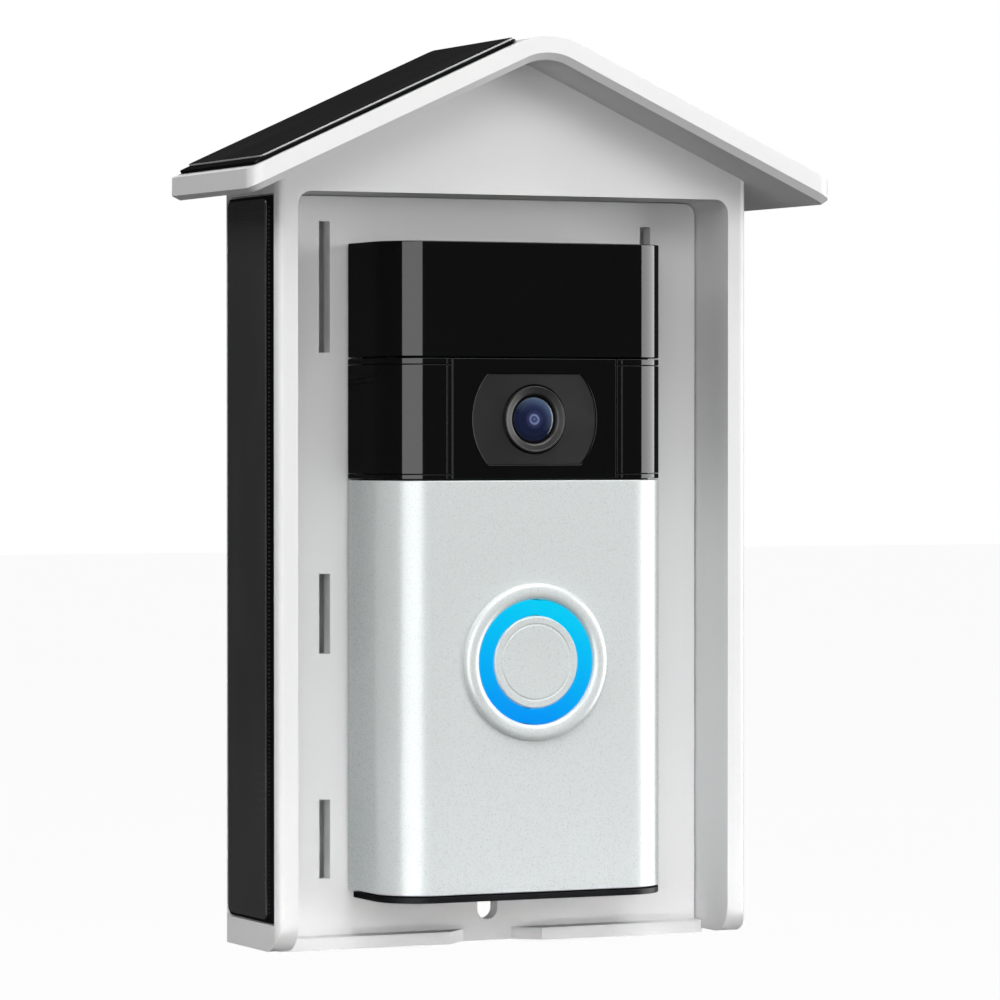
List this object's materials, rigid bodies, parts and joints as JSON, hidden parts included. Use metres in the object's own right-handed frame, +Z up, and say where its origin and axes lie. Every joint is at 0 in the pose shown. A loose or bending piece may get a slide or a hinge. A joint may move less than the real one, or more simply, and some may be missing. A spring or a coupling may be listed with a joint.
{
  "type": "video doorbell in a solar shelter",
  "caption": "Battery video doorbell with camera and lit push button, held in a white house-shaped wall shelter with solar panels on the roof and the sides.",
  "frame": {"origin": "centre of the shelter's rear face, on the wall plane", "axes": "+Y into the wall, the front looks towards -Y, +Z up, +X to the right of someone facing the doorbell"},
  "size_m": [0.1232, 0.0403, 0.1754],
  "materials": {
    "white_plastic": "fine satin moulded",
    "black_gloss": "polished",
    "black_plastic": "fine grain moulded",
    "dark_plate": "satin",
    "silver_paint": "satin silver paint",
    "solar_cell": "glossy laminate over cells",
    "panel_black": "satin",
    "lens_glass": "coated optical glass",
    "light_blue": "lit diffuser",
    "board_green": "solder mask",
    "steel": "plated",
    "rubber": "matt",
    "battery_wrap": "film wrap",
    "lead_red": "insulation",
    "lead_black": "insulation",
    "setup_orange": "satin",
    "milky_lens": "translucent",
    "brass": "plain"
  },
  "bodies": {
    "shelter": {"shelter_shell": "white_plastic", "mounting_plate": "white_plastic", "rear_cover": "white_plastic", "cover_screw_upper_left": "steel", "cover_screw_upper_right": "steel", "cover_screw_lower_left": "steel", "cover_screw_lower_right": "steel", "roof_panel_base_left": "panel_black", "roof_panel_base_right": "panel_black", "roof_panel_cells_left": "solar_cell", "roof_panel_cells_right": "solar_cell", "side_panel_base_left": "panel_black", "side_panel_base_right": "panel_black", "side_panel_cells_left": "solar_cell", "side_panel_cells_right": "solar_cell", "charge_board": "board_green", "charge_coil": "dark_plate", "charge_chip": "black_plastic", "roof_lead_left": "lead_red", "roof_lead_right": "lead_red", "side_lead_left": "lead_black", "side_lead_right": "lead_black", "terminal_lead_left": "lead_black", "terminal_lead_right": "lead_red", "door_bracket": "black_plastic", "bracket_screw_upper": "steel", "bracket_screw_lower": "steel", "chassis": "black_plastic", "chassis_seal": "rubber", "faceplate": "silver_paint", "security_screw": "steel", "upper_cover": "black_gloss", "camera_cover": "black_gloss", "camera_window": "black_gloss", "camera_surround": "dark_plate", "lens_ring": "black_plastic", "lens": "lens_glass", "camera_barrel": "black_plastic", "camera_board": "board_green", "night_led_left": "lens_glass", "night_led_right": "lens_glass", "motion_lens": "milky_lens", "motion_sensor": "steel", "button_bezel": "silver_paint", "light_ring": "light_blue", "button_cushion": "rubber", "button_switch": "steel", "light_board": "board_green", "main_board": "board_green", "battery": "battery_wrap", "speaker": "black_plastic", "microphone": "brass", "terminal_screw_left": "brass", "terminal_screw_right": "brass", "charging_socket": "steel"},
    "button": {"button_cap": "silver_paint"},
    "switch_stem": {"switch_stem": "black_plastic"},
    "setup_button": {"setup_button": "setup_orange"}
  },
  "joints": [
    {"name": "button_press", "type": "slide", "parent": "shelter", "child": "button", "axis": [0, 1, 0], "range_m": [0, 0.0006], "stiffness_N_per_m": 900, "springref_m": -0.0005},
    {"name": "stem_travel", "type": "slide", "parent": "shelter", "child": "switch_stem", "axis": [0, 1, 0], "range_m": [0, 0.00026]},
    {"name": "setup_press", "type": "slide", "parent": "shelter", "child": "setup_button", "axis": [0, -1, 0], "range_m": [0, 0.0005], "stiffness_N_per_m": 700, "springref_m": -0.0004}
  ],
  "couplings": [
    {"joint": "stem_travel", "follows": "button_press", "ratio": 0.4166}
  ]
}
